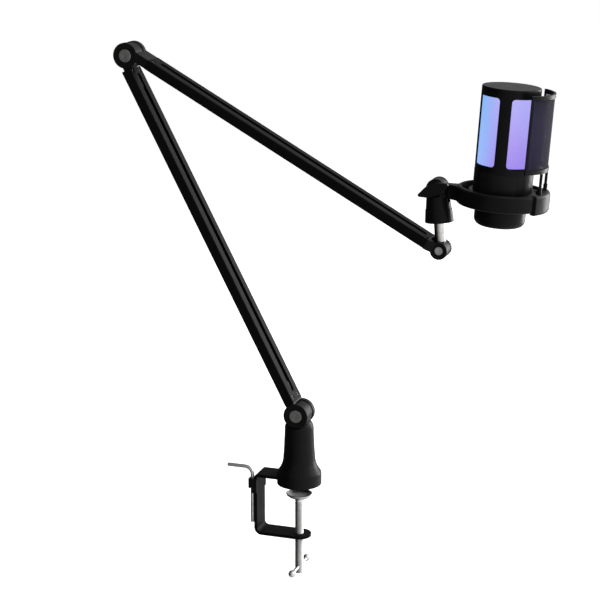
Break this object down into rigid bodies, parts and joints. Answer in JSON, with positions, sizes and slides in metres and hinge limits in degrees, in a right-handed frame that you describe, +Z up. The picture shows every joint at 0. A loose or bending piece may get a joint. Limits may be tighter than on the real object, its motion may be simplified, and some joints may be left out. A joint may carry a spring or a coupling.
{
  "type": "condenser microphone on boom arm",
  "caption": "Condenser microphone with a clip-on pop filter in a shock-mount ring, on a two-section folding boom arm with a table clamp.",
  "frame": {"origin": "middle of the clamp pad where it rests on the table, on the axis that the arm swivels about", "axes": "+Z up; +X from the clamp towards the microphone, in the plane of the arms; Y along every hinge bolt"},
  "size_m": [0.3957, 0.0764, 0.4856],
  "materials": {
    "black_steel": "black powder coat, satin",
    "black_housing": "black satin paint",
    "black_joint": "black moulded nylon, fine grain",
    "black_aluminium": "black anodised",
    "black_plastic": "black moulded plastic",
    "black_mount": "black moulded plastic, satin",
    "socket_plastic": "dark grey moulded plastic",
    "black_body": "black satin paint",
    "black_oxide": "black oxide",
    "steel_screw": "plain steel",
    "steel_port": "stamped steel",
    "chrome": "bright chrome",
    "zinc": "bright zinc plate",
    "zinc_screw": "dark zinc plate",
    "brass": "turned",
    "rubber": "matt",
    "grey_rubber": "matt",
    "nylon": "natural nylon",
    "grille": "fine woven wire lit from behind",
    "diffuser": "translucent, lit",
    "pcb": "glass epoxy board",
    "capsule": "brass capsule",
    "label": "blank printed panel",
    "filter_plastic": "black moulded plastic",
    "screen": "woven nylon gauze"
  },
  "bodies": {
    "base": {"clamp_frame": "black_steel", "base_housing": "black_housing", "table_pad": "rubber", "housing_screws": "steel_screw", "swivel_bush": "nylon", "hex_key_clip": "black_plastic"},
    "hex_key": {"hex_key": "steel_screw"},
    "swivel": {"swivel_knuckle": "black_housing", "retaining_ring": "steel_screw"},
    "lower_arm": {"lower_arm_tube": "black_aluminium", "lower_arm_base_fork": "black_joint", "lower_arm_elbow_tongue": "black_joint", "lower_arm_screws": "black_oxide", "base_hinge_bolt": "black_oxide", "base_hinge_nut": "black_oxide", "base_hinge_washers": "nylon"},
    "upper_arm": {"upper_arm_tube": "black_aluminium", "upper_arm_elbow_fork": "black_joint", "upper_arm_tip_fork": "black_joint", "upper_arm_screws": "black_oxide", "elbow_bolt": "black_oxide", "elbow_nut": "black_oxide", "elbow_washers": "nylon", "tip_bolt": "steel_screw", "tip_nut": "black_oxide", "tip_washers": "nylon"},
    "stud": {"stud_tongue": "black_joint", "threaded_stud": "chrome"},
    "socket": {"mount_socket": "black_mount", "thread_insert": "brass", "wing_nut_insert": "steel_screw"},
    "wing_screw": {"wing_knob": "black_mount", "wing_screw_stud": "steel_screw"},
    "microphone": {"mount_ring": "black_mount", "filter_socket": "socket_plastic", "rubber_isolators": "grey_rubber", "cradle_ring": "black_mount", "top_cap": "black_body", "mic_shell": "black_body", "grille_mesh": "grille", "light_diffuser": "diffuser", "led_board": "pcb", "capsule": "capsule", "capsule_holder": "rubber", "main_board": "pcb", "lower_housing": "black_body", "label_plate": "label", "usb_port": "steel_port", "gain_control": "black_plastic"},
    "gain_knob": {"gain_knob": "black_body"},
    "pop_filter": {"filter_frame": "filter_plastic", "filter_screen": "screen", "filter_prongs": "black_oxide"},
    "pressure_dish": {"pressure_dish": "zinc"},
    "clamp_screw": {"clamp_screw": "zinc_screw"},
    "tommy_bar": {"tommy_bar": "zinc_screw", "tommy_bar_ends": "zinc_screw"}
  },
  "joints": [
    {"name": "base_swivel", "type": "hinge", "parent": "base", "child": "swivel", "pos_m": [0, 0, 0.067], "axis": [0, 0, 1], "continuous": true},
    {"name": "base_hinge", "type": "hinge", "parent": "swivel", "child": "lower_arm", "pos_m": [0, 0, 0.067], "axis": [0, 1, 0], "range_deg": [-60, 115]},
    {"name": "elbow_hinge", "type": "hinge", "parent": "lower_arm", "child": "upper_arm", "pos_m": [-0.16009, 0, 0.38614], "axis": [0, -1, 0], "range_deg": [-29, 140]},
    {"name": "tip_hinge", "type": "hinge", "parent": "upper_arm", "child": "stud", "pos_m": [0.12918, 0, 0.22873], "axis": [0, 1, 0], "range_deg": [-6, 180]},
    {"name": "mount_swivel", "type": "hinge", "parent": "stud", "child": "socket", "pos_m": [0.12918, 0, 0.22873], "axis": [-0.0732, 0, 0.9973], "range_deg": [-100, 100]},
    {"name": "mount_tilt", "type": "hinge", "parent": "socket", "child": "microphone", "pos_m": [0.12522, 0, 0.28258], "axis": [0, 1, 0], "range_deg": [-60, 6]},
    {"name": "wing_screw_turn", "type": "hinge", "parent": "socket", "child": "wing_screw", "pos_m": [0.12522, 0, 0.28258], "axis": [0, -1, 0], "range_deg": [0, 720]},
    {"name": "gain_knob_turn", "type": "hinge", "parent": "microphone", "child": "gain_knob", "pos_m": [0.18115, 0, 0.27882], "axis": [0.0671, 0, 0.9977], "range_deg": [-135, 135]},
    {"name": "pop_filter_pull", "type": "slide", "parent": "microphone", "child": "pop_filter", "axis": [0.0671, 0, 0.9977], "range_m": [0, 0.025]},
    {"name": "screw_travel", "type": "slide", "parent": "base", "child": "pressure_dish", "axis": [0, 0, 1], "range_m": [-0.0301, 0.0092]},
    {"name": "screw_turn", "type": "hinge", "parent": "pressure_dish", "child": "clamp_screw", "pos_m": [0, 0, -0.05], "axis": [0, 0, 1], "range_deg": [-8640, 2592]},
    {"name": "tommy_bar_slide", "type": "slide", "parent": "clamp_screw", "child": "tommy_bar", "axis": [0, 1, 0], "range_m": [-0.0125, 0.0125]},
    {"name": "hex_key_lift", "type": "slide", "parent": "base", "child": "hex_key", "axis": [0, 0, 1], "range_m": [0, 0.045]}
  ],
  "couplings": [
    {"joint": "screw_travel", "follows": "screw_turn", "m_per_rad": 0.00019894}
  ]
}
